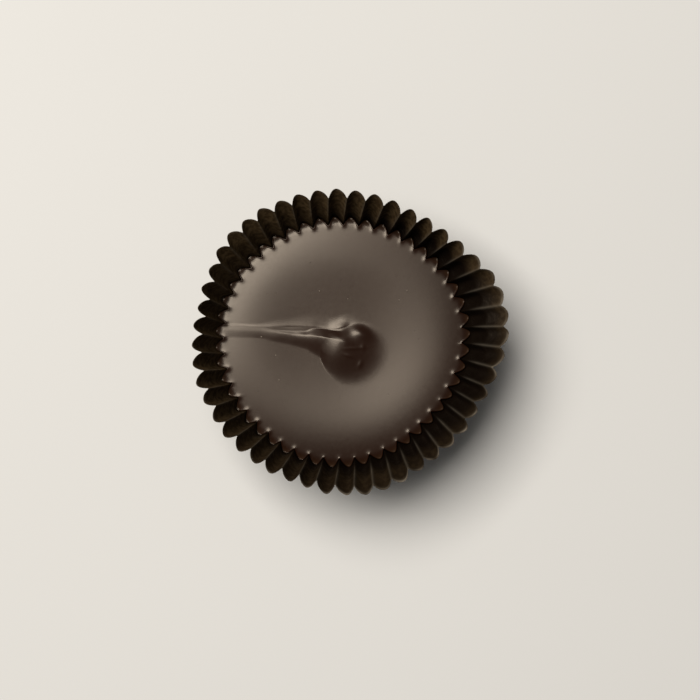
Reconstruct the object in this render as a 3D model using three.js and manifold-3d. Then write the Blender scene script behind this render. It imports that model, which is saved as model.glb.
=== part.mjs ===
// A dark chocolate peanut butter cup in its fluted paper case. Millimetres, +Z up.
// The origin is the middle of the case's flat base, on the surface that the case stands on.
// -Y is the front: seen from straight above with +Y up, the swirl's tail runs off to the left.
import * as THREE from "three";
import { mergeVertices } from "three/addons/utils/BufferGeometryUtils.js";
import Module from "manifold-3d";

// Driving dimensions of the cup
const FLUTES = 48;
const BASE_RADIUS = 17; // the case's flat round base
const FILL_HEIGHT = 14; // where the chocolate's edge meets the paper
const TIP_RADIUS = 22.6; // the flutes' outer tips at the fill line
const RIM_TIP_RADIUS = 26.5; // the flutes' outer tips at the rim
const FREE_WALL = 9; // the length of bare paper above the fill line, measured along the wall
const FOLD_SHARE = 0.45; // how far up the bare paper it bends outwards
const FOLD_EASE = 0.35; // how much of the lean outwards is taken up below that bend
const LOW_RING = 0.2; // share of the fill height at which the flutes' quick deepening eases off
const PAPER = 0.25; // thickness of the paper
const GAP = 0.3; // between the chocolate and the paper

// Shape of the flutes: the lobes are broad and the folds between them narrow
const FOLD_SHARPNESS = 0.18;
const FIRST_FLUTE = THREE.MathUtils.degToRad(2.7);
const RIM_TWIST = THREE.MathUtils.degToRad(-1.4); // the bare paper leans clockwise on its way up
const RIM_OPENING = 0.18; // share of their depth that the flutes lose by springing open at the rim
const SAMPLES_PER_FLUTE = 6;
const SEGMENTS = FLUTES * SAMPLES_PER_FLUTE;

// Neither outline is quite round: each wave goes `times` round it and bulges by `size` at `at` degrees.
// Handling has bent the rim out on the right, which takes several waves
const FILL_WAVES = [
  { times: 2, size: 0.3, at: 23 },
  { times: 3, size: 0.27, at: 18 },
  { times: 4, size: 0.2, at: 5 },
];
const RIM_WAVES = [
  { times: 1, size: 0.9, at: 2 },
  { times: 2, size: 0.5, at: -1 },
  { times: 3, size: 0.75, at: 12 },
  { times: 4, size: 0.6, at: 16 },
  { times: 5, size: 0.3, at: 5 },
  { times: 6, size: 0.25, at: 15 },
  { times: 7, size: 0.17, at: 22 },
  { times: 8, size: 0.16, at: 11 },
];

// No two flutes are alike: largest change of a flute's depth, as a share, and of its reach at the rim
const UNEVEN_DEPTH = 0.1;
const UNEVEN_REACH = 0.2;
const SEED = 48;

// The chocolate's top, measured from the fill height
const EDGE_LIP = 0.35; // thin lip that climbed the paper
const LIP_WIDTH = 0.5;
const SHOULDER_DROP = 0.1; // low ring just inside the lip
const SHOULDER_RADIUS = 19.4;
const CREST_HEIGHT = 0.3; // broad swelling round the middle
const CREST_RADIUS = 14.5;

// The swirl: a dollop whose peak leans back, with a knob behind it where the string folded over,
// and the string, which split into two strands as it was drawn off to the left edge.
// A strand's width and height grow from its `from` end to its `to` end, where it is inside the dollop
const DOLLOP = { x: 1.6, y: -2.4, radius: 5.2, height: 2.8, lean: { x: -1.3, y: 1.6 } };
const KNOB = { x: 2, y: 1.2, radius: 2.5, height: 2, lean: { x: 0, y: 0 } };
const STRANDS = [
  {
    from: { x: -20.3, y: 2.2, halfWidth: 0.7, height: 0.3 },
    to: { x: 1, y: -0.9, halfWidth: 2.2, height: 2.7 },
  },
  {
    from: { x: -20.3, y: 3.1, halfWidth: 0.3, height: 0.15 },
    to: { x: 2, y: 2, halfWidth: 0.9, height: 1.5 },
  },
];
const SUNK = 0.9; // how deep the swirl's shapes reach into the body they are joined to
const BALL_SIDES = 24;
const BALL_RINGS = 14;
const STRAND_SIDES = 12;
const STRAND_STEPS = 12;

const TURN = 2 * Math.PI;
const FLATTEST = 0.97; // sine of the angle from upright that the flared paper stops at

// --- The fluted wall, shared by the paper and the chocolate ---------------------------------------

function waveSum(waves, angle) {
  return waves.reduce(
    (sum, wave) => sum + wave.size * Math.cos(wave.times * (angle - THREE.MathUtils.degToRad(wave.at))),
    0,
  );
}

// A random number from -1 to 1 for each flute, and its value at any angle between two flutes' tips
THREE.MathUtils.seededRandom(SEED);
const depthChange = Array.from({ length: FLUTES }, () => 2 * THREE.MathUtils.seededRandom() - 1);
const reachChange = Array.from({ length: FLUTES }, () => 2 * THREE.MathUtils.seededRandom() - 1);

function changeAt(changes, angle) {
  const place = THREE.MathUtils.euclideanModulo(((angle - FIRST_FLUTE) * FLUTES) / TURN, FLUTES);
  const flute = Math.floor(place) % FLUTES;
  return THREE.MathUtils.lerp(changes[flute], changes[(flute + 1) % FLUTES], place - Math.floor(place));
}

// A sheet pleated into FLUTES folds: how deep they must be to use up a ring of paper
// whose flat radius was `flatRadius` at the mean radius `meanRadius`
function fluteDepth(flatRadius, meanRadius) {
  return (Math.PI / FLUTES) * Math.sqrt(Math.max(0, flatRadius ** 2 - meanRadius ** 2));
}

// Lowest in a fold and highest on a lobe, 2 apart
function fluteWave(angle) {
  const phase = FLUTES * (angle - FIRST_FLUTE);
  return Math.cos(phase) - FOLD_SHARPNESS * Math.cos(2 * phase);
}

// How far the lobes' tips stand out from the mean radius, as a share of the depth
const TIP_SHARE = (1 - FOLD_SHARPNESS) / 2;

function fillMeanRadius(angle) {
  const slant = Math.hypot(FILL_HEIGHT, TIP_RADIUS - BASE_RADIUS);
  const depth = fluteDepth(BASE_RADIUS + slant, TIP_RADIUS);
  return TIP_RADIUS - TIP_SHARE * depth + waveSum(FILL_WAVES, angle);
}

// The wall's mean line at one angle, as four rings on the way up: each ring's radius and height, its tilt
// from upright, its flutes' depth and how far it has turned round the cup
function wallLine(angle) {
  const fillRadius = fillMeanRadius(angle);
  const lowerTilt = Math.atan2(fillRadius - BASE_RADIUS, FILL_HEIGHT);
  const lowerLength = Math.hypot(FILL_HEIGHT, fillRadius - BASE_RADIUS);
  const ownDepth = 1 + UNEVEN_DEPTH * changeAt(depthChange, angle);
  const ringBelow = (share) => {
    const radius = THREE.MathUtils.lerp(BASE_RADIUS, fillRadius, share);
    const depth = ownDepth * fluteDepth(BASE_RADIUS + share * lowerLength, radius);
    return { radius, height: share * FILL_HEIGHT, tilt: lowerTilt, depth, turn: 0 };
  };
  const low = ringBelow(LOW_RING);
  const fill = ringBelow(1);

  const rimTip = RIM_TIP_RADIUS + waveSum(RIM_WAVES, angle) + UNEVEN_REACH * changeAt(reachChange, angle);
  const rimFlatRadius = BASE_RADIUS + lowerLength + FREE_WALL;
  const rimDepth = ownDepth * (1 - RIM_OPENING) * fluteDepth(rimFlatRadius, rimTip);
  const reach = rimTip - TIP_SHARE * rimDepth - fillRadius;

  // Bare paper: a steeper lower stretch, then a fold, and a flatter one that makes up the reach
  const foldLength = FOLD_SHARE * FREE_WALL;
  const upperLength = FREE_WALL - foldLength;
  const foldTilt = THREE.MathUtils.lerp(lowerTilt, Math.asin(reach / FREE_WALL), FOLD_EASE);
  const rimTilt = Math.asin(Math.min(FLATTEST, (reach - foldLength * Math.sin(foldTilt)) / upperLength));
  const fold = {
    radius: fillRadius + foldLength * Math.sin(foldTilt),
    height: FILL_HEIGHT + foldLength * Math.cos(foldTilt),
    tilt: (foldTilt + rimTilt) / 2,
    depth: THREE.MathUtils.lerp(fill.depth, rimDepth, FOLD_SHARE),
    turn: FOLD_SHARE * RIM_TWIST,
  };
  const rim = {
    radius: fold.radius + upperLength * Math.sin(rimTilt),
    height: fold.height + upperLength * Math.cos(rimTilt),
    tilt: rimTilt,
    depth: rimDepth,
    turn: RIM_TWIST,
  };
  return { low, fill, fold, rim };
}

// A place on one of the wall's rings, `inset` inside its mean surface
function wallPlace(angle, ringName, inset) {
  const ring = wallLine(angle)[ringName];
  return {
    radius: ring.radius + (ring.depth / 2) * fluteWave(angle) - inset * Math.cos(ring.tilt),
    height: ring.height + inset * Math.sin(ring.tilt),
    turn: ring.turn,
  };
}

// A lathe whose points are then moved, ring by ring: each ring says, for an angle, the point's radius
// and height, and how far it is turned round the cup from there
function shapedLathe(rings) {
  const onAxis = (row) => row === 0 || row === rings.length - 1;
  const profile = rings.map((_, row) => new THREE.Vector2(onAxis(row) ? 0 : 1, row));
  const geometry = new THREE.LatheGeometry(profile, SEGMENTS);
  const position = geometry.getAttribute("position");
  for (let segment = 0; segment <= SEGMENTS; segment++) {
    const angle = FIRST_FLUTE + ((segment % SEGMENTS) * TURN) / SEGMENTS;
    rings.forEach((ring, row) => {
      const { radius, height, turn = 0 } = ring(angle);
      const x = radius * Math.cos(angle + turn);
      const y = radius * Math.sin(angle + turn);
      position.setXYZ(segment * rings.length + row, x, y, height);
    });
  }
  geometry.computeVertexNormals();
  return geometry;
}

const roundRing = (radius, height) => () => ({ radius, height });

// --- The paper case: one sheet, pressed into a flat base and a fluted wall -------------------------

function paperCaseGeometry() {
  const outside = (ringName) => (angle) => wallPlace(angle, ringName, -GAP / 2 - PAPER);
  const inside = (ringName) => (angle) => wallPlace(angle, ringName, -GAP / 2);
  return shapedLathe([
    roundRing(0, 0),
    roundRing(BASE_RADIUS, 0),
    ...["low", "fill", "fold", "rim"].map(outside),
    ...["rim", "fold", "fill", "low"].map(inside),
    roundRing(BASE_RADIUS - PAPER, PAPER),
    roundRing(0, PAPER),
  ]);
}

// --- The chocolate: body, dollop, knob and strands, in one piece ----------------------------------

// Height of the plain top at a distance from the middle, above the fill height
function topHeight(distance) {
  if (distance < CREST_RADIUS) {
    return CREST_HEIGHT * THREE.MathUtils.smoothstep(distance, 0, CREST_RADIUS);
  }
  const down = THREE.MathUtils.smoothstep(distance, CREST_RADIUS, SHOULDER_RADIUS);
  return THREE.MathUtils.lerp(CREST_HEIGHT, -SHOULDER_DROP, down);
}

function chocolateBodyGeometry() {
  const bottom = PAPER + GAP;
  const edgeRadius = (angle) => wallPlace(angle, "fill", GAP / 2).radius;
  const topRing = (radius) => roundRing(radius, FILL_HEIGHT + topHeight(radius));
  return shapedLathe([
    roundRing(0, bottom),
    roundRing(BASE_RADIUS - bottom, bottom),
    (angle) => wallPlace(angle, "low", GAP / 2),
    (angle) => ({ radius: edgeRadius(angle), height: FILL_HEIGHT + EDGE_LIP }),
    (angle) => ({ radius: edgeRadius(angle) - LIP_WIDTH, height: FILL_HEIGHT }),
    topRing(SHOULDER_RADIUS),
    topRing((SHOULDER_RADIUS + CREST_RADIUS) / 2),
    topRing(CREST_RADIUS),
    topRing(CREST_RADIUS / 2),
    topRing(0),
  ]);
}

// A ball squashed into the dollop or the knob, with its peak pushed over by its lean
function dollopGeometry({ x, y, radius, height, lean }) {
  const geometry = new THREE.SphereGeometry(1, BALL_SIDES, BALL_RINGS);
  geometry.rotateX(Math.PI / 2);
  const position = geometry.getAttribute("position");
  for (let i = 0; i < position.count; i++) {
    const up = position.getZ(i);
    const push = Math.max(0, up) ** 2;
    position.setXYZ(
      i,
      x + radius * position.getX(i) + push * lean.x,
      y + radius * position.getY(i) + push * lean.y,
      FILL_HEIGHT + up * (up > 0 ? height : SUNK),
    );
  }
  return geometry;
}

// A rod along X, squashed, tapered and bent into a strand that lies on the chocolate's top
function strandGeometry({ from, to }) {
  const length = to.x - from.x;
  const geometry = new THREE.CylinderGeometry(1, 1, length, STRAND_SIDES, STRAND_STEPS);
  geometry.rotateZ(-Math.PI / 2);
  const position = geometry.getAttribute("position");
  for (let i = 0; i < position.count; i++) {
    const along = position.getX(i) / length + 0.5;
    const growth = along ** 2;
    const x = from.x + along * length;
    const middle = THREE.MathUtils.lerp(from.y, to.y, growth);
    const y = middle + THREE.MathUtils.lerp(from.halfWidth, to.halfWidth, growth) * position.getY(i);
    const height = THREE.MathUtils.lerp(from.height, to.height, growth);
    const up = position.getZ(i);
    position.setXYZ(i, x, y, FILL_HEIGHT + topHeight(Math.hypot(x, y)) + up * (up > 0 ? height : SUNK));
  }
  return geometry;
}

// --- Joining the chocolate's shapes into one solid -------------------------------------------------

const wasm = await Module();
wasm.setup();

function solidOf(geometry) {
  const bare = geometry.clone();
  bare.deleteAttribute("normal");
  bare.deleteAttribute("uv");
  const merged = mergeVertices(bare);
  return new wasm.Manifold(
    new wasm.Mesh({
      numProp: 3,
      vertProperties: merged.getAttribute("position").array,
      triVerts: new Uint32Array(merged.index.array),
    }),
  );
}

function geometryOf(solid) {
  const { vertProperties, triVerts } = solid.getMesh();
  const geometry = new THREE.BufferGeometry();
  geometry.setAttribute("position", new THREE.BufferAttribute(vertProperties, 3));
  geometry.setIndex(new THREE.BufferAttribute(triVerts, 1));
  geometry.computeVertexNormals();
  return geometry;
}

function chocolateGeometry() {
  const shapes = [dollopGeometry(DOLLOP), dollopGeometry(KNOB), ...STRANDS.map(strandGeometry)];
  const body = solidOf(chocolateBodyGeometry());
  return geometryOf(shapes.reduce((joined, shape) => joined.add(solidOf(shape)), body));
}

// --- The cup ---------------------------------------------------------------------------------------

const darkChocolate = new THREE.MeshStandardMaterial({ color: 0x2b1a15, roughness: 0.35, metalness: 0 });
const brownPaper = new THREE.MeshStandardMaterial({ color: 0x241b10, roughness: 0.6, metalness: 0 });

const cup = new THREE.Group();

const paperCase = new THREE.Mesh(paperCaseGeometry(), brownPaper);
paperCase.name = "paper_case";
cup.add(paperCase);

const chocolate = new THREE.Mesh(chocolateGeometry(), darkChocolate);
chocolate.name = "chocolate";
cup.add(chocolate);

export default cup;
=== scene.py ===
import math

import bmesh
import bpy
import numpy as np
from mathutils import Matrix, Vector


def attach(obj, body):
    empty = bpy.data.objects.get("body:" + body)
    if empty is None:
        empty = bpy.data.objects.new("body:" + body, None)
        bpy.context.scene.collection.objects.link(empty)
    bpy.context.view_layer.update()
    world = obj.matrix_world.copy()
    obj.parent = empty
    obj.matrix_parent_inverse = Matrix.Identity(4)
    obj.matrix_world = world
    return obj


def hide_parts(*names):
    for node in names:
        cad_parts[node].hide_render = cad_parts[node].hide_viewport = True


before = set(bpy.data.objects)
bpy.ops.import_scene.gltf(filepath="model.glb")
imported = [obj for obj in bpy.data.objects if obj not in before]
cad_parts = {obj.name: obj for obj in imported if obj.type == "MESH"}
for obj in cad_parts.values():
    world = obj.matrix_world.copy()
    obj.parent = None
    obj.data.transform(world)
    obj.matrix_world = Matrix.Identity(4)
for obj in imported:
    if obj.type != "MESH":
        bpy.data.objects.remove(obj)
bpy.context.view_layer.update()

# --- Camera ---------------------------------------------------------------------------------------
# It looks straight down from a tripod 27 cm above the chocolate. The cup is a little left of the
# frame's middle and above it.
MM = 0.001  # sizes are in mm, apart from those marked m
FILL_HEIGHT = 14.0  # where the chocolate's edge meets the paper
CAMERA_ABOVE_FILL = 270.0
CAMERA_AT = (1.49, -1.67)
FRAME_ANGLE = math.radians(26.16)

camera = bpy.data.objects.new("camera", bpy.data.cameras.new("camera"))
camera.data.angle = FRAME_ANGLE
camera.data.clip_start = 0.01
camera.location = Vector((*CAMERA_AT, FILL_HEIGHT + CAMERA_ABOVE_FILL)) * MM
bpy.context.collection.objects.link(camera)
bpy.context.scene.camera = camera
bpy.context.scene.view_settings.view_transform = "Standard"

# --- Studio light ---------------------------------------------------------------------------------
# One large softbox up on the left and behind, and a dim room. The softbox is what the chocolate's
# shine shows.
SOFTBOX_AZIMUTH = math.radians(138)
SOFTBOX_OFF_UPRIGHT = math.radians(24)
SOFTBOX_AWAY = 0.9  # m
SOFTBOX_SIDE = 0.52  # m
SOFTBOX_RADIANCE = 11.4
SOFTBOX_COLOUR = (1.0, 0.95, 0.88)
ROOM_RADIANCE = 0.08
ROOM_COLOUR = (1.0, 0.97, 0.93, 1.0)

softbox_data = bpy.data.lights.new("softbox", "AREA")
softbox_data.shape = "SQUARE"
softbox_data.size = SOFTBOX_SIDE
softbox_data.energy = SOFTBOX_RADIANCE * math.pi * SOFTBOX_SIDE**2
softbox_data.color = SOFTBOX_COLOUR
softbox = bpy.data.objects.new("softbox", softbox_data)
softbox_direction = Vector((
    math.sin(SOFTBOX_OFF_UPRIGHT) * math.cos(SOFTBOX_AZIMUTH),
    math.sin(SOFTBOX_OFF_UPRIGHT) * math.sin(SOFTBOX_AZIMUTH),
    math.cos(SOFTBOX_OFF_UPRIGHT),
))
softbox.location = softbox_direction * SOFTBOX_AWAY
softbox.rotation_euler = softbox_direction.to_track_quat("Z", "Y").to_euler()
bpy.context.collection.objects.link(softbox)

room = bpy.data.worlds.new("room")
room.use_nodes = True
room_light = room.node_tree.nodes["Background"]
room_light.inputs["Color"].default_value = ROOM_COLOUR
room_light.inputs["Strength"].default_value = ROOM_RADIANCE
bpy.context.scene.world = room

# --- Floor ----------------------------------------------------------------------------------------
# A plain pale studio table under the cup, matt and very slightly mottled.
FLOOR_SIDE = 3.0  # m
DARKEST_TABLE = (0.70, 0.70, 0.69)
PALEST_TABLE = (0.74, 0.74, 0.73)


def soft_mottle_group():
    """Cloudy unevenness that the table, the paper and the chocolate share: a mask from 0 to 1."""
    group = bpy.data.node_groups.new("soft_mottle", "ShaderNodeTree")
    for name, start in (("Scale", 100.0), ("Detail", 3.0), ("Contrast", 2.0)):
        socket = group.interface.new_socket(name, in_out="INPUT", socket_type="NodeSocketFloat")
        socket.default_value = start
    group.interface.new_socket("Mask", in_out="OUTPUT", socket_type="NodeSocketFloat")
    nodes, links = group.nodes, group.links
    start_node = nodes.new("NodeGroupInput")
    place = nodes.new("ShaderNodeTexCoord")
    noise = nodes.new("ShaderNodeTexNoise")
    centre = nodes.new("ShaderNodeMath")
    centre.operation = "SUBTRACT"
    centre.inputs[1].default_value = 0.5
    spread = nodes.new("ShaderNodeMath")
    spread.operation = "MULTIPLY"
    lift = nodes.new("ShaderNodeMath")
    lift.operation = "ADD"
    lift.use_clamp = True
    lift.inputs[1].default_value = 0.5
    end_node = nodes.new("NodeGroupOutput")
    links.new(place.outputs["Object"], noise.inputs["Vector"])
    links.new(start_node.outputs["Scale"], noise.inputs["Scale"])
    links.new(start_node.outputs["Detail"], noise.inputs["Detail"])
    links.new(noise.outputs["Fac"], centre.inputs[0])
    links.new(centre.outputs[0], spread.inputs[0])
    links.new(start_node.outputs["Contrast"], spread.inputs[1])
    links.new(spread.outputs[0], lift.inputs[0])
    links.new(lift.outputs[0], end_node.inputs["Mask"])
    return group


soft_mottle = soft_mottle_group()


def new_material(name):
    material = bpy.data.materials.new(name)
    material.use_nodes = True
    return material, material.node_tree.nodes, material.node_tree.links


def mottle_node(nodes, scale, detail, contrast):
    node = nodes.new("ShaderNodeGroup")
    node.node_tree = soft_mottle
    node.inputs["Scale"].default_value = scale
    node.inputs["Detail"].default_value = detail
    node.inputs["Contrast"].default_value = contrast
    return node


def colour_between(nodes, links, mask, dark, light):
    """A colour that goes from `dark` to `light` as the mask goes from 0 to 1."""
    mix = nodes.new("ShaderNodeMix")
    mix.data_type = "RGBA"
    links.new(mask, mix.inputs["Factor"])
    for socket, colour in (("A", dark), ("B", light)):
        target = [i for i in mix.inputs if i.name == socket and i.type == "RGBA"][0]
        if isinstance(colour, tuple):
            target.default_value = (*colour, 1.0)
        else:
            links.new(colour, target)
    return [o for o in mix.outputs if o.type == "RGBA"][0]


table_paint, nodes, links = new_material("pale_table")
mottle = mottle_node(nodes, scale=6.0, detail=3.0, contrast=1.0)
shader = nodes["Principled BSDF"]
table_colour = colour_between(nodes, links, mottle.outputs["Mask"], DARKEST_TABLE, PALEST_TABLE)
links.new(table_colour, shader.inputs["Base Color"])
shader.inputs["Roughness"].default_value = 0.8
shader.inputs["Specular IOR Level"].default_value = 0.2

floor_mesh = bpy.data.meshes.new("floor")
floor_shape = bmesh.new()
bmesh.ops.create_grid(floor_shape, x_segments=8, y_segments=8, size=FLOOR_SIDE / 2)
floor_shape.to_mesh(floor_mesh)
floor_shape.free()
floor_mesh.materials.append(table_paint)
floor = bpy.data.objects.new("floor", floor_mesh)
bpy.context.collection.objects.link(floor)

# --- Paper case -----------------------------------------------------------------------------------
# A disc of thin brown greaseproof paper that a die pressed into a flat base and a wall of 48 flutes.
# Nothing fixes it: the chocolate was poured in and set against it. Handling has bent its rim out,
# mostly on the right.
FLUTES = 48
SPOKES_PER_FLUTE = 20
BASE_RADIUS = 17.0
TIP_RADIUS = 22.6  # of the lobes' tips at the fill height
RIM_TIP_RADIUS = 26.5
FREE_WALL = 9.0  # length of the bare wall above the chocolate
FOLD_SHARE = 0.56  # how far up the bare wall it bends outwards
FOLD_EASE = 0.5  # how much of the bare wall's extra lean it already has below that bend
FOLD_WIDTH = 0.12  # share of the bare wall that the bend takes up
BEND_SPREAD = 0.14  # share of the bare wall on either side of the bend that is flattened with it
SHARP_BEND = 0.6  # radians; a bend as sharp as this flattens the flutes the most
FLATTENED_BY_BEND = 0.55  # share of their depth that the flutes lose in it
FLATTENED_AT_RIM = 0.7  # how much of that loss is left at the rim
WALL_STEPS = 48  # that the bare wall's curve is summed up in
FOLD_SHARPNESS = 0.18  # share of half their depth that the flutes are set inwards by
FOLD_SOFTNESS = 0.08
FULLNESS_AT_FILL = 1.15  # the lower, the rounder the lobes and the narrower the folds
FULLNESS_AT_RIM = 0.6
LOBE_SKEW = 0.07  # each lobe's tip is this share of a flute off its middle
FIRST_FLUTE = math.radians(2.7)
RIM_TWIST = math.radians(-1.4)
RIM_OPENING = 0.18  # share of their depth that the flutes lose as the rim opens
FLATTEST = 0.97  # sine of the angle from upright that the bent paper stops at
UNEVEN_DEPTH = 0.1  # no two flutes are alike: share of the depth, mm of reach and share of the spacing
UNEVEN_REACH = 0.2
UNEVEN_SPACING = 0.04
PAPER_THICKNESS = 0.08
PAPER_INSIDE_AT_FILL = -0.1  # how far the paper's inside is from the wall's mean surface, inwards
PAPER_INSIDE_AT_RIM = -0.32

# How the wall is out of round: waves to a turn, their size, and the angle in degrees of a crest.
FILL_WAVES = ((2, 0.3, 23), (3, 0.27, 18), (4, 0.2, 5))
RIM_WAVES = ((1, 0.9, 2), (2, 0.5, -1), (3, 0.75, 12), (4, 0.6, 16), (5, 0.3, 5), (6, 0.25, 15),
             (7, 0.17, 22), (8, 0.16, 11))

uneven = np.random.default_rng(48)
depth_change = uneven.uniform(-1, 1, FLUTES)
reach_change = uneven.uniform(-1, 1, FLUTES)
spacing_change = uneven.uniform(-1, 1, FLUTES)


def flute_value(changes, place):
    """Each flute's own value, eased from one flute to the next. `place` counts flutes round the cup."""
    flute = np.floor(place).astype(int) % FLUTES
    share = place - np.floor(place)
    share = share * share * (3 - 2 * share)
    return changes[flute] * (1 - share) + changes[(flute + 1) % FLUTES] * share


def wave_sum(waves, angle):
    return sum(size * np.cos(times * (angle - math.radians(at))) for times, size, at in waves)


def flute_depth(flat_radius, mean_radius):
    return math.pi / FLUTES * np.sqrt(np.maximum(0, flat_radius**2 - mean_radius**2))


def smooth_step(value, low, high):
    share = np.clip((value - low) / (high - low), 0, 1)
    return share * share * (3 - 2 * share)


class Wall:
    """The fluted wall at the given places, which count flutes round the cup: a whole number is a lobe's
    middle. Its rings run from 0 at the base to 1 at the fill line and 2 at the rim."""

    def __init__(self, place):
        turn_each = 2 * math.pi / FLUTES
        angle = FIRST_FLUTE + turn_each * (place + UNEVEN_SPACING * flute_value(spacing_change, place))
        self.place, self.angle = place, angle
        slant = math.hypot(FILL_HEIGHT, TIP_RADIUS - BASE_RADIUS)
        tip_share = (1 - FOLD_SHARPNESS) / 2
        self.fill_radius = (TIP_RADIUS - tip_share * flute_depth(BASE_RADIUS + slant, TIP_RADIUS)
                            + wave_sum(FILL_WAVES, angle))
        self.lower_length = np.hypot(FILL_HEIGHT, self.fill_radius - BASE_RADIUS)
        self.lower_tilt = np.arctan2(self.fill_radius - BASE_RADIUS, FILL_HEIGHT)
        self.own_depth = 1 + UNEVEN_DEPTH * flute_value(depth_change, place)
        self.fill_depth = self.own_depth * flute_depth(BASE_RADIUS + self.lower_length, self.fill_radius)
        own_reach = UNEVEN_REACH * flute_value(reach_change, place)
        rim_tip = RIM_TIP_RADIUS + wave_sum(RIM_WAVES, angle) + own_reach
        rim_flat = BASE_RADIUS + self.lower_length + FREE_WALL
        self.rim_depth = self.own_depth * (1 - RIM_OPENING) * flute_depth(rim_flat, rim_tip)
        reach = rim_tip - tip_share * self.rim_depth - self.fill_radius
        fold_length = FOLD_SHARE * FREE_WALL
        whole_tilt = np.arcsin(reach / FREE_WALL)
        self.fold_tilt = self.lower_tilt + FOLD_EASE * (whole_tilt - self.lower_tilt)
        left_over = (reach - fold_length * np.sin(self.fold_tilt)) / (FREE_WALL - fold_length)
        self.rim_tilt = np.arcsin(np.minimum(FLATTEST, left_over))
        self.bent = np.clip((self.rim_tilt - self.fold_tilt) / SHARP_BEND, 0, 1)

    def wave(self, upper):
        """Runs from -1.18 in a fold of the paper to 0.82 at a lobe's tip."""
        fullness = FULLNESS_AT_FILL + (FULLNESS_AT_RIM - FULLNESS_AT_FILL) * upper
        skewed = self.place - LOBE_SKEW * (0.5 + 0.5 * np.cos(2 * math.pi * self.place))
        lobe = (np.cos(math.pi * skewed) ** 2 + FOLD_SOFTNESS**2) ** (fullness / 2)
        least, most = FOLD_SOFTNESS**fullness, (1 + FOLD_SOFTNESS**2) ** (fullness / 2)
        return 2 * (lobe - least) / (most - least) - 1 - FOLD_SHARPNESS

    def ring(self, along, inset):
        """x, y and z, in mm, of the ring at that place on the wall, `inset` inside its mean surface."""
        lower, upper = min(along, 1.0), max(along - 1.0, 0.0)
        radius = BASE_RADIUS + lower * (self.fill_radius - BASE_RADIUS)
        height = FILL_HEIGHT * lower
        tilt = self.lower_tilt
        depth = self.own_depth * flute_depth(BASE_RADIUS + lower * self.lower_length, radius)
        turn = 0.0
        if upper > 0:
            place = (np.arange(WALL_STEPS) + 0.5)[:, None] / WALL_STEPS * upper
            bend = smooth_step(place, FOLD_SHARE - FOLD_WIDTH / 2, FOLD_SHARE + FOLD_WIDTH / 2)
            tilts = self.fold_tilt + (self.rim_tilt - self.fold_tilt) * bend
            radius = self.fill_radius + upper * FREE_WALL * np.sin(tilts).mean(axis=0)
            height = FILL_HEIGHT + upper * FREE_WALL * np.cos(tilts).mean(axis=0)
            tilt = tilts[-1]
            depth = self.fill_depth + (self.rim_depth - self.fill_depth) * upper
            in_bend = np.exp(-(((upper - FOLD_SHARE) / BEND_SPREAD) ** 2))
            flattened = in_bend + FLATTENED_AT_RIM * smooth_step(upper, FOLD_SHARE, 1)
            depth = depth * (1 - FLATTENED_BY_BEND * self.bent * flattened)
            turn = upper * RIM_TWIST
        radius = radius + depth / 2 * self.wave(upper) - inset * np.cos(tilt)
        height = height + inset * np.sin(tilt)
        return np.stack([radius * np.cos(self.angle + turn), radius * np.sin(self.angle + turn),
                         height * np.ones_like(radius)], axis=1)


def round_ring(radius, height, angle):
    level = np.full_like(angle, height)
    return np.stack([radius * np.cos(angle), radius * np.sin(angle), level], axis=1)


def skinned_mesh(name, rings, material):
    """One closed skin over rings of points, in mm. A ring has as many points as the last or half as
    many, and the first and last rings are closed with a fan round their middle."""
    points = list(rings)
    starts = np.cumsum([0] + [len(ring) for ring in rings])
    faces = []
    for number in range(len(rings) - 1):
        a = starts[number] + np.arange(len(rings[number]))
        b = starts[number + 1] + np.arange(len(rings[number + 1]))
        if len(a) < len(b):
            a, b = b, a
        ahead, b_ahead = np.roll(a, -1), np.roll(b, -1)
        if len(a) == len(b):
            faces += np.stack([a, ahead, b_ahead, b], axis=1).tolist()
        else:
            even, odd, after = a[0::2], a[1::2], np.roll(a[0::2], -1)
            faces += np.stack([even, odd, b], axis=1).tolist()
            faces += np.stack([odd, after, b_ahead, b], axis=1).tolist()
    for number in (0, len(rings) - 1):
        middle = starts[-1] + (0 if number == 0 else 1)
        points.append(rings[number].mean(axis=0, keepdims=True))
        a = starts[number] + np.arange(len(rings[number]))
        faces += np.stack([a, np.roll(a, -1), np.full_like(a, middle)], axis=1).tolist()
    mesh = bpy.data.meshes.new(name)
    mesh.from_pydata(np.concatenate(points) * MM, [], faces)
    shape = bmesh.new()
    shape.from_mesh(mesh)
    bmesh.ops.recalc_face_normals(shape, faces=shape.faces)
    shape.to_mesh(mesh)
    shape.free()
    mesh.shade_smooth()
    mesh.materials.append(material)
    piece = bpy.data.objects.new(name, mesh)
    bpy.context.collection.objects.link(piece)
    return piece


def paint(piece, name, rings):
    """Gives each point of a skinned mesh a value, for its material to read. One list for each ring."""
    values = np.concatenate([np.asarray(ring, float) for ring in rings] + [rings[0][:1], rings[-1][:1]])
    piece.data.attributes.new(name, "FLOAT", "POINT").data.foreach_set("value", values)


def painted_value(nodes, name):
    node = nodes.new("ShaderNodeAttribute")
    node.attribute_name = name
    return node.outputs["Fac"]


def value_between(nodes, links, mask, low, high):
    """A number that goes from `low` to `high` as the mask goes from 0 to 1."""
    ramp = nodes.new("ShaderNodeMapRange")
    ramp.inputs["To Min"].default_value = low
    ramp.inputs["To Max"].default_value = high
    links.new(mask, ramp.inputs["Value"])
    return ramp.outputs["Result"]


DARK_CLOUD = (0.03, 0.0185, 0.0083)
PALE_CLOUD = (0.047, 0.029, 0.0135)
PALE_FIBRE = (0.073, 0.048, 0.0235)
# The dark band next to the chocolate: partly a grease stain, partly painted shade.
SOAKED_AND_SHADED_PAPER = (0.0045, 0.0026, 0.0016)
# Worn paper, and painted glints on the cut edge.
WORN_AND_GLINTING_PAPER = (0.17, 0.145, 0.112)

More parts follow.
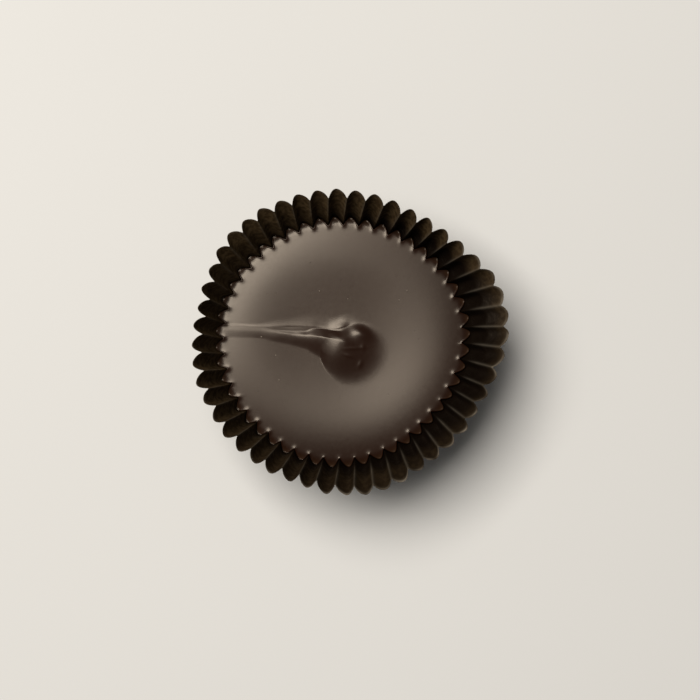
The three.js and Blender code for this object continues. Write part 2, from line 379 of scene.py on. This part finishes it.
paper, nodes, links = new_material("brown_greaseproof_paper")
shader = nodes["Principled BSDF"]
fibres = mottle_node(nodes, scale=1200.0, detail=5.0, contrast=5.0)
clouds = mottle_node(nodes, scale=160.0, detail=3.0, contrast=3.0)
clouded = colour_between(nodes, links, clouds.outputs["Mask"], DARK_CLOUD, PALE_CLOUD)
fibrous = colour_between(nodes, links, fibres.outputs["Mask"], clouded, PALE_FIBRE)
# From the dark band, partly grease and partly painted shade, to the dry colour, which carries painted
# light: paler on the wall away from the softbox.
dry_and_lit_paper = colour_between(nodes, links, painted_value(nodes, "dryness_and_painted_light"), SOAKED_AND_SHADED_PAPER, fibrous)
# Worn folds and cut edge, with painted glints on the edge.
worn_and_glinting = colour_between(nodes, links, painted_value(nodes, "wear_and_glint"), dry_and_lit_paper, WORN_AND_GLINTING_PAPER)
links.new(worn_and_glinting, shader.inputs["Base Color"])
links.new(value_between(nodes, links, fibres.outputs["Mask"], 0.62, 0.48), shader.inputs["Roughness"])
shader.inputs["Specular IOR Level"].default_value = 0.085
shader.inputs["Specular Tint"].default_value = (1.0, 0.83, 0.64, 1.0)
grain = nodes.new("ShaderNodeBump")
grain.inputs["Strength"].default_value = 0.5
grain.inputs["Distance"].default_value = 0.00005
links.new(fibres.outputs["Mask"], grain.inputs["Height"])
links.new(grain.outputs["Normal"], shader.inputs["Normal"])


def flute_places(each):
    """Places round the cup, `each` to a flute, closer together near the folds."""
    even = np.arange(each) / each * 2 - 1
    crowded = (even + np.sin(math.pi / 2 * even)) / 4
    return (np.arange(FLUTES)[:, None] + crowded).ravel()


wall = Wall(flute_places(SPOKES_PER_FLUTE))
spokes = wall.angle

# The wall's rings, closest together round its bend, and the base's: each ring's share of the base's radius,
# and how many spokes there are to one of its points.
PAPER_ROWS = [0.01, 0.03, 0.08, 0.16, 0.28, 0.42, 0.56, 0.7, 0.82, 0.92, 1.0, 1.08, 1.17, 1.26, 1.35, 1.42,
              1.47, 1.51, 1.54, 1.57, 1.6, 1.64, 1.69, 1.75, 1.82, 1.89, 1.94, 1.98, 2.0]
BASE_RINGS = ((0.25, 4), (0.6, 2), (0.97, 1))


def paper_inset(along):
    return PAPER_INSIDE_AT_FILL + (PAPER_INSIDE_AT_RIM - PAPER_INSIDE_AT_FILL) * max(0.0, along - 1.0)


def base_rings(height):
    return [round_ring(BASE_RADIUS * share, height, spokes[::step]) for share, step in BASE_RINGS]


outside = [wall.ring(along, paper_inset(along) - PAPER_THICKNESS) for along in PAPER_ROWS]
inside = [wall.ring(along, paper_inset(along)) for along in reversed(PAPER_ROWS)]
base_outside, base_inside = base_rings(0.0), base_rings(PAPER_THICKNESS)[::-1]
paper_case = skinned_mesh("fluted_paper_case", base_outside + outside + inside + base_inside, paper)

# The paper is painted darker in a band up from the chocolate: partly fat that soaked into it, partly
# painted shade in its deep flutes. The band got the highest on the right, almost to the rim there, and
# the least in a patch on the left. Above it the paper carries painted light: it is painted paler on the
# wall away from the softbox and in that patch, darker where the softbox lights the wall most. Heights
# are `along` the wall.
DARK_BAND_HIGHEST = math.radians(-10)
MOST_LIT_WALL = math.radians(-62)
DARK_BAND_TO = 0.8
DARK_BAND_HIGHER = 0.92  # on the right
DARK_BAND_LOWER = 0.2  # in the painted lit patch on the left
DARK_BAND_UNEVENLY = 0.03  # from flute to flute
DARK_BAND_EASE = 0.4
PALENESS_ON_LIT_WALL = 0.2  # next to 1 on the far side
LIT_PATCH = 0.4
LIT_PATCH_AT = math.radians(180)
LIT_PATCH_HALF = math.radians(20)
DRY_OUTSIDE = 0.4  # at the least, as the fat hasn't come right through

# Painted light: the paper is painted paler on the wall away from the softbox and in a patch on the left,
# darker on the wall that the softbox lights most.
dark_band_high = (0.5 + 0.5 * np.cos(wall.angle - DARK_BAND_HIGHEST)) ** 2
away_from_light = 0.5 - 0.5 * np.cos(wall.angle - MOST_LIT_WALL)
lit_patch = np.exp(-(((wall.angle - LIT_PATCH_AT) / LIT_PATCH_HALF) ** 2))
palest = PALENESS_ON_LIT_WALL + (1 - PALENESS_ON_LIT_WALL) * away_from_light + LIT_PATCH * lit_patch
dark_band_to = (DARK_BAND_TO + DARK_BAND_HIGHER * dark_band_high - DARK_BAND_LOWER * lit_patch
             + DARK_BAND_UNEVENLY * flute_value(depth_change, wall.place))


def dryness_and_painted_light(along):
    return palest * smooth_step(along, dark_band_to, dark_band_to + DARK_BAND_EASE)


# The paper's folds and its cut edge are worn pale. On the cut edge painted glints add to it, mostly at the
# front right, where the softbox catches the edge.
FOLD_WEAR = 0.24
FOLD_LINE = 24  # the higher, the thinner the worn line along a fold
FOLD_WEAR_FROM, FOLD_WEAR_TO = 1.2, 1.6
EDGE_PALE_FROM, EDGE_PALE_TO = 1.93, 1.98
EDGE_PALENESS = 0.65  # all round
EDGE_GLINT = 0.35  # at the front right, and as much less on the far side from it
BRIGHTEST_EDGE_GLINT = math.radians(-60)
EDGE_CHANGES_PER_FLUTE = 3

in_fold = 0.5 - 0.5 * np.cos(2 * math.pi * wall.place)
# Painted glints: the cut edge is paler all round and the most at the front right, where the softbox catches
# it.
edge_paleness = EDGE_PALENESS + EDGE_GLINT * np.cos(wall.angle - BRIGHTEST_EDGE_GLINT)
edge_wear_and_glint = edge_paleness * (0.5 + 0.5 * flute_value(spacing_change, wall.place * EDGE_CHANGES_PER_FLUTE))


def wear_and_glint(along):
    on_fold = FOLD_WEAR * in_fold**FOLD_LINE * smooth_step(along, FOLD_WEAR_FROM, FOLD_WEAR_TO)
    return np.maximum(on_fold, edge_wear_and_glint * smooth_step(along, EDGE_PALE_FROM, EDGE_PALE_TO))


# The paper's outside keeps at least DRY_OUTSIDE of its dry colour. The dryness values hold painted shade
# and painted light, the wear values painted glints on the cut edge.
for name, rule, least_outside in (("dryness_and_painted_light", dryness_and_painted_light, DRY_OUTSIDE), ("wear_and_glint", wear_and_glint, 0.0)):
    paint(paper_case, name, [np.full(len(ring), least_outside) for ring in base_outside]
          + [np.maximum(rule(along), least_outside) * np.ones(len(spokes)) for along in PAPER_ROWS]
          + [rule(along) * np.ones(len(spokes)) for along in reversed(PAPER_ROWS)]
          + [np.zeros(len(ring)) for ring in base_inside])
SHARPEST_SMOOTH = math.radians(65)
paper_case.data.set_sharp_from_angle(angle=SHARPEST_SMOOTH)
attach(paper_case, "root")
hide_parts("paper_case")

# --- Chocolate ------------------------------------------------------------------------------------
# Tempered dark chocolate, poured into the case over its filling. Its edge climbed the paper a little.
# The last of it ran on as a dollop, and the string that it left was drawn off to the left edge, where
# it split into two strands.
CHOCOLATE_INSET = 0.15  # from the wall's mean surface
CHOCOLATE_BOTTOM = 0.55  # height of its underside
LIP = 0.06  # the thin bead along the paper
LIP_AT = 0.13  # how far in from the outline its crest is
LIP_WIDTH = 0.08
HILL = 0.1  # the top rises a little where a fold of the paper pokes into it
HILL_RADIUS = 0.5
LEAST_HILL, MOST_HILL = 0.3, 1.5  # share of HILL
POCKET_DEPTH = 0.35  # and the top rolls down where it runs out into each flute
POCKET_FROM, POCKET_TO = -0.9, 0.7  # mm out from the wall's mean radius

# The plain top is a shallow dish inside a rolled-off edge. Every 45 degrees from +X: the steepest slope, in
# degrees, that it rises outwards with, its crest's radius in mm, and the slope that it falls off with at
# EDGE_RADIUS.
DISH = (
    (4.0, 18.2, 4.5),
    (2.6, 15.5, 4.0),
    (2.2, 15.3, 2.0),
    (1.5, 16.0, 4.4),
    (2.2, 16.4, 3.4),
    (3.2, 14.4, 7.0),
    (4.6, 16.6, 9.0),
    (4.7, 18.6, 5.0),
)
EDGE_RADIUS = 21.5


def around(values, angle):
    """The value in a direction: the smoothest wave round the cup through the eight values."""
    waves = np.fft.rfft(values) / len(values)
    unpaired = (0, len(values) // 2)
    return sum((1 if number in unpaired else 2) * (wave * np.exp(1j * number * angle)).real
               for number, wave in enumerate(waves))


def dish_height(x, y):
    """The slope's sum from the middle outwards. Inside the crest the slope goes as share**2 * (1 - share),
    which is 4/27 at its steepest, and outside it falls off evenly."""
    radius, angle = np.hypot(x, y), np.arctan2(y, x)
    rise_slope, crest, fall_slope = (around([row[i] for row in DISH], angle) for i in range(3))
    share = np.minimum(radius, crest) / crest
    outer = np.maximum(radius - crest, 0)
    rise = 27 / 4 * np.radians(rise_slope) * crest * (share**3 / 3 - share**4 / 4)
    return rise - np.radians(fall_slope) * outer**2 / 2 / (EDGE_RADIUS - crest)


def blended_max(a, b, reach):
    """The higher of two heights, with the corner between them filled over `reach`, or less near zero."""
    reach = np.clip(np.minimum(a, b), 1e-6, reach)
    gap = np.maximum(reach - np.abs(a - b), 0)
    return np.maximum(a, b) + gap * gap / (4 * reach)


# The dollop: its peak, and every 45 degrees from +X how far off its foot is in mm, how full its top is and
# how softly it runs out.
PEAK = (0.1, -0.15)
PEAK_HEIGHT = 1.08
DOLLOP = (
    (8.6, 1.5, 2.6),
    (5.2, 1.6, 2.4),
    (2.9, 2.0, 2.1),
    (3.1, 2.0, 1.5),
    (4.5, 1.8, 1.2),
    (5.2, 2.1, 1.1),
    (7.8, 2.0, 2.0),
    (9.1, 1.8, 2.7),
)


def dollop_height(x, y):
    across, up = x - PEAK[0], y - PEAK[1]
    angle = np.arctan2(up, across)
    reach, fullness, softness = (around([row[i] for row in DOLLOP], angle) for i in range(3))
    share = np.minimum(np.hypot(across, up) / reach, 1)
    return PEAK_HEIGHT * (1 - share**fullness) ** softness


def smooth_curve(at, places, values):
    """A smooth line through the given values, level at its ends and at each crest and hollow."""
    places, values = (np.asarray(line, float).reshape(len(line), -1) for line in (places, values))
    gaps = np.diff(places, axis=0)
    steps = np.diff(values, axis=0) / gaps
    same_way = steps[:-1] * steps[1:] > 0
    slopes = np.zeros(np.broadcast(places, values).shape)
    both = np.where(same_way, steps[:-1] + steps[1:], 1)
    slopes[1:-1] = np.where(same_way, 2 * steps[:-1] * steps[1:] / both, 0)
    line = values[0] + 0 * at
    for i, gap in enumerate(gaps):
        share = np.clip((at - places[i]) / gap, 0, 1)
        eased = share**2 * (3 - 2 * share)
        here = (values[i] * (1 - eased) + values[i + 1] * eased
                + gap * share * (1 - share) * (slopes[i] * (1 - share) - slopes[i + 1] * share))
        line = np.where(at > places[i], here, line)
    return line


# The string is a ribbon with a crest along its front and a thin web behind that. A row is a place along X
# with the crest's y, its height, how rounded it is and how wide its back slope is, the web's height, the y
# of its back edge, how wide the slope behind that is, the front foot's y, and how full the front is.
STRING = (
    (-24.0, 2.1, 0.06, 1.0, 0.9, 0.05, 3.0, 0.3, 0.6, 1.6),
    (-18.0, 1.9, 0.06, 1.0, 0.9, 0.05, 2.75, 0.3, 0.5, 1.6),
    (-14.5, 1.65, 0.07, 1.0, 0.9, 0.04, 2.55, 0.6, 0.4, 1.8),
    (-12.0, 1.4, 0.12, 1.0, 0.6, 0.06, 2.6, 1.2, -0.2, 2.0),
    (-10.0, 1.15, 0.17, 1.0, 0.75, 0.06, 2.7, 1.4, -0.6, 1.6),
    (-8.0, 0.85, 0.23, 1.0, 1.0, 0.08, 2.7, 1.8, -1.1, 1.6),
    (-6.6, 0.85, 0.34, 0.7, 0.9, 0.09, 2.65, 2.2, -1.5, 1.6),
    (-5.4, 0.85, 0.5, 0.3, 1.25, 0.09, 2.6, 2.4, -2.2, 1.6),
    (-4.0, 0.75, 0.67, 0.0, 1.5, 0.07, 2.45, 2.6, -3.1, 1.5),
    (-2.6, 0.5, 0.83, 0.0, 1.6, 0.09, 2.3, 2.4, -4.2, 1.5),
    (-1.0, 0.2, 0.97, 0.3, 1.6, 0.2, 2.3, 2.2, -4.6, 1.5),
    (0.4, -0.2, 1.05, 0.6, 2.0, 0.14, 2.6, 2.4, -4.6, 1.6),
    (1.6, -0.5, 0.8, 0.6, 2.3, 0.05, 2.9, 2.4, -4.6, 1.7),
    (4.0, -1.0, 0.0, 0.6, 2.4, 0.0, 3.4, 2.4, -4.6, 1.7),
)
FRONT_SOFTNESS, REAR_SOFTNESS = 1.4, 2  # how softly its front and its rear run out


def string_height(x, y):
    places = [row[0] for row in STRING]
    crest, height, roundness, slope, web, back, edge, front, fullness = (
        smooth_curve(x, places, [row[i] for row in STRING]) for i in range(1, 10))
    down = np.clip((crest - y) / (crest - front), 0, 1)
    behind = np.clip((y - crest) / slope, 0, 1)
    behind = behind + (behind**2 * (3 - 2 * behind) - behind) * roundness
    off = np.clip((y - back) / edge, 0, 1)
    rear = (height - (height - web) * behind) * (1 - off) ** REAR_SOFTNESS
    return np.where(y > crest, rear, height * (1 - down**fullness) ** FRONT_SOFTNESS)


# Lumps and wrinkles, where strands folded over: x, y, long and short radius, height, turn in degrees.
LUMPS = (
    (-9.0, 2.45, 1.6, 0.16, -0.015, 0),
    (-3.0, 2.25, 1.3, 0.18, 0.02, -12),
    (-0.1, 2.4, 1.2, 0.9, 0.13, 25),
    (3.5, 1.35, 1.9, 1.1, 0.36, -32),
    (2.4, -1.35, 1.6, 0.3, 0.06, 3),
    (3.8, -1.2, 0.4, 0.6, 0.05, 0),
    (1.2, -2.7, 0.8, 0.3, 0.06, -20),
    (3.3, -4.2, 0.7, 0.4, 0.07, 70),
)
FILLED_CORNER = 0.3  # how far apart in height the dollop and the string start to blend


def swirl_height(x, y):
    height = blended_max(dollop_height(x, y), string_height(x, y), FILLED_CORNER)
    for lump_x, lump_y, long, short, lump, turn in LUMPS:
        turned = math.radians(turn)
        across = ((x - lump_x) * math.cos(turned) + (y - lump_y) * math.sin(turned)) / long
        up = (-(x - lump_x) * math.sin(turned) + (y - lump_y) * math.cos(turned)) / short
        height = height + lump * np.exp(-(across**2 + up**2))
    return height


# The chocolate's outline, finer than its spokes, and for each spoke the stretch of it that is near.
OUTLINE_FINENESS = 8
NEAR_SPOKES = 20  # on either side

to_next = np.append(wall.place[1:], wall.place[0] + FLUTES) - wall.place
between = np.arange(OUTLINE_FINENESS) / OUTLINE_FINENESS
places = wall.place[:, None] + to_next[:, None] * between
outline = Wall(places.ravel()).ring(1.0, CHOCOLATE_INSET)
stretch = np.arange(-NEAR_SPOKES * OUTLINE_FINENESS, NEAR_SPOKES * OUTLINE_FINENESS + 1)
near = (np.arange(len(spokes))[:, None] * OUTLINE_FINENESS + stretch) % len(outline)
near_radius = np.hypot(outline[near, 0], outline[near, 1])
near_turn = np.arctan2(outline[near, 1], outline[near, 0]) - spokes[:, None]
edge_radius = np.hypot(outline[::OUTLINE_FINENESS, 0], outline[::OUTLINE_FINENESS, 1])

# The folds of the paper that are nearest to each spoke, where they poke into the chocolate.
notch_place = np.floor(wall.place) + 0.5
near_notches = [Wall(notch_place + beside).ring(1.0, CHOCOLATE_INSET)[:, :2].T for beside in (-1, 0, 1)]
hill_size = uneven.uniform(LEAST_HILL, MOST_HILL, FLUTES)
near_hills = [HILL * hill_size[(notch_place + beside).astype(int) % FLUTES] for beside in (-1, 0, 1)]


def inset_radius(inset):
    """How far from the middle each spoke is when it is first `inset` away from the outline."""
    if inset == 0:
        return edge_radius
    sideways = near_radius * np.sin(near_turn)
    reached = np.abs(sideways) <= inset
    back = np.sqrt(np.maximum(inset**2 - sideways**2, 0))
    return np.where(reached, near_radius * np.cos(near_turn) - back, np.inf).min(axis=1)


def in_pocket(radius):
    """1 at the tip of each of the chocolate's teeth, 0 inside them."""
    in_flute = 0.5 + 0.5 * np.cos(2 * math.pi * wall.place)
    return in_flute * smooth_step(radius, wall.fill_radius + POCKET_FROM, wall.fill_radius + POCKET_TO)


def top_ring(radius, step=1, from_outline=None):
    """One ring of the top: the plain dish, the swirl on it, and its edge where the outline is near. The
    ring has a point on each spoke, or on every second, fourth and so on by `step`."""
    radius = radius * np.ones(len(spokes))
    x, y = (radius * np.cos(spokes))[::step], (radius * np.sin(spokes))[::step]
    height = FILL_HEIGHT + dish_height(x, y) + swirl_height(x, y)
    if from_outline is not None:
        height = height + LIP * math.exp(-(((from_outline - LIP_AT) / LIP_WIDTH) ** 2))
        height = height - POCKET_DEPTH * in_pocket(radius)
        for (notch_x, notch_y), hill in zip(near_notches, near_hills):
            height = height + hill * np.exp(-((x - notch_x) ** 2 + (y - notch_y) ** 2) / HILL_RADIUS**2)
    return np.stack([x, y, height], axis=1)


DARK_CHOCOLATE = (0.0115, 0.0035, 0.0015)
PALER_CHOCOLATE = (0.0155, 0.0049, 0.0021)
# Painted glow: the paler, redder brown of light shining through thin chocolate.
GLOWING_THIN_CHOCOLATE = (0.036, 0.0172, 0.0084)

chocolate_paint, nodes, links = new_material("dark_chocolate")
shader = nodes["Principled BSDF"]
clouds = mottle_node(nodes, scale=60.0, detail=3.0, contrast=2.0)
clouded = colour_between(nodes, links, clouds.outputs["Mask"], DARK_CHOCOLATE, PALER_CHOCOLATE)
# Painted glow where the chocolate is thin in the flutes.
with_edge_glow = colour_between(nodes, links, painted_value(nodes, "thin_edge_glow"), clouded, GLOWING_THIN_CHOCOLATE)
links.new(with_edge_glow, shader.inputs["Base Color"])
fine = mottle_node(nodes, scale=1500.0, detail=2.0, contrast=1.5)
links.new(value_between(nodes, links, fine.outputs["Mask"], 0.27, 0.31), shader.inputs["Roughness"])
shader.inputs["Specular IOR Level"].default_value = 0.5
shader.inputs["Specular Tint"].default_value = (1.0, 0.89, 0.76, 1.0)
satin = nodes.new("ShaderNodeBump")
satin.inputs["Strength"].default_value = 0.12
satin.inputs["Distance"].default_value = 0.00002
links.new(fine.outputs["Mask"], satin.inputs["Height"])
links.new(satin.outputs["Normal"], shader.inputs["Normal"])

# The top's rings, from its outline inwards: first some at a set distance inside the outline, next some at
# a set share of the way to the edge, and then round ones, whose points get fewer as they get smaller.
EDGE_INSETS = (0.0, 0.02, 0.05, 0.09, 0.13, 0.18, 0.24, 0.31, 0.4, 0.5, 0.62, 0.76, 0.94, 1.15, 1.4, 1.7)
EDGE_SHARES = (0.86, 0.84, 0.82, 0.8, 0.775, 0.75, 0.725, 0.7, 0.675, 0.65, 0.625, 0.6, 0.575, 0.55, 0.525,
               0.5, 0.48, 0.46, 0.44, 0.42, 0.4, 0.38)
HILLS_END = 0.78  # the share where the paper's folds no longer show in the top
PAST_LIP = 1.0  # mm, so far from the outline that nothing is left of its bead
LARGEST_ROUND, SMALLEST_ROUND = 8.0, 0.14
ROUND_GAP, INNER_GAP, INNER_RADIUS = 0.12, 0.1, 3.0
FEWER_POINTS_FROM = 16.0  # at a half, a quarter, an eighth and so on of this radius, points are halved

top = [top_ring(inset_radius(inset), from_outline=inset) for inset in EDGE_INSETS]
for share in EDGE_SHARES:
    top.append(top_ring(share * wall.fill_radius, from_outline=None if share < HILLS_END else PAST_LIP))
radius = LARGEST_ROUND
while radius > SMALLEST_ROUND:
    step = 2 ** int(np.clip(math.floor(math.log2(FEWER_POINTS_FROM / radius)), 1, 6))
    while len(spokes) % step:
        step //= 2
    step = min(step, 2 * (len(spokes) // len(top[-1])))
    top.append(top_ring(radius, step))
    radius -= ROUND_GAP if radius > INNER_RADIUS else INNER_GAP

SIDE_ROWS = (0.985, 0.9, 0.7, 0.45, 0.2, 0.08)
BOTTOM_RINGS = ((BASE_RADIUS - CHOCOLATE_BOTTOM, 1), (BASE_RADIUS / 2, 2), (BASE_RADIUS / 5, 4))
side = [wall.ring(along, CHOCOLATE_INSET) for along in SIDE_ROWS]
bottom = [round_ring(radius, CHOCOLATE_BOTTOM, spokes[::step]) for radius, step in BOTTOM_RINGS]
chocolate = skinned_mesh("chocolate_cup", top[::-1] + side + bottom, chocolate_paint)

# Where it is thin, in the paper's flutes, light shines through it: that glow is painted into its colour as
# a paler, redder brown.
thin_edge_glow = [in_pocket(inset_radius(inset)) for inset in EDGE_INSETS]
thin_edge_glow += [np.zeros(len(ring)) for ring in top[len(EDGE_INSETS):]]
paint(chocolate, "thin_edge_glow", thin_edge_glow[::-1] + [np.zeros(len(ring)) for ring in side + bottom])
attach(chocolate, "root")
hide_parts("chocolate")

# --- Specks ---------------------------------------------------------------------------------------
# Sugar dust that fell on the chocolate while it was soft and set there: seven pale grains and a dark one
# of cocoa, each about a fifth of a millimetre across, stuck in the top.
GRAIN_POINTS = 8
GRAIN_RISES = (-0.5, 0.0, 0.6, 0.9)  # of its rings over the top under it, as shares of its radius
SMALLEST_GRAIN, LARGEST_GRAIN = 0.07, 0.12
NARROWEST, WIDEST = 0.75, 1.25  # how uneven its rings are
SUGAR_AT = ((-4.0, 8.9), (1.1, 7.5), (11.7, 9.0), (10.3, 7.3), (-11.8, -2.6), (-11.2, -7.0), (-14.4, 0.7))
COCOA_AT = ((-5.6, 14.0),)
DULL_SUGAR = (0.22, 0.18, 0.14)
PALE_SUGAR = (0.34, 0.29, 0.23)

sugar, nodes, links = new_material("sugar_grain")
mottle = mottle_node(nodes, scale=4000.0, detail=2.0, contrast=1.5)
shader = nodes["Principled BSDF"]
sugar_colour = colour_between(nodes, links, mottle.outputs["Mask"], DULL_SUGAR, PALE_SUGAR)
links.new(sugar_colour, shader.inputs["Base Color"])
shader.inputs["Roughness"].default_value = 0.5

grain_shape = np.random.default_rng(7)
for kind, places, material in (("sugar", SUGAR_AT, sugar), ("cocoa", COCOA_AT, chocolate_paint)):
    for number, (grain_x, grain_y) in enumerate(places):
        radius = grain_shape.uniform(SMALLEST_GRAIN, LARGEST_GRAIN)
        turns = np.arange(GRAIN_POINTS) * 2 * math.pi / GRAIN_POINTS
        here = np.array([grain_x]), np.array([grain_y])
        under = FILL_HEIGHT + float((dish_height(*here) + swirl_height(*here))[0])
        rings = []
        for rise in GRAIN_RISES:
            reach = radius * math.sqrt(1 - rise**2) * grain_shape.uniform(NARROWEST, WIDEST, GRAIN_POINTS)
            rings.append(round_ring(reach, under + radius * rise, turns) + (grain_x, grain_y, 0))
        grain = skinned_mesh(f"{kind}_grain_{number + 1}", rings, material)
        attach(grain, "root")

# --- Update ---------------------------------------------------------------------------------------
bpy.context.view_layer.update()
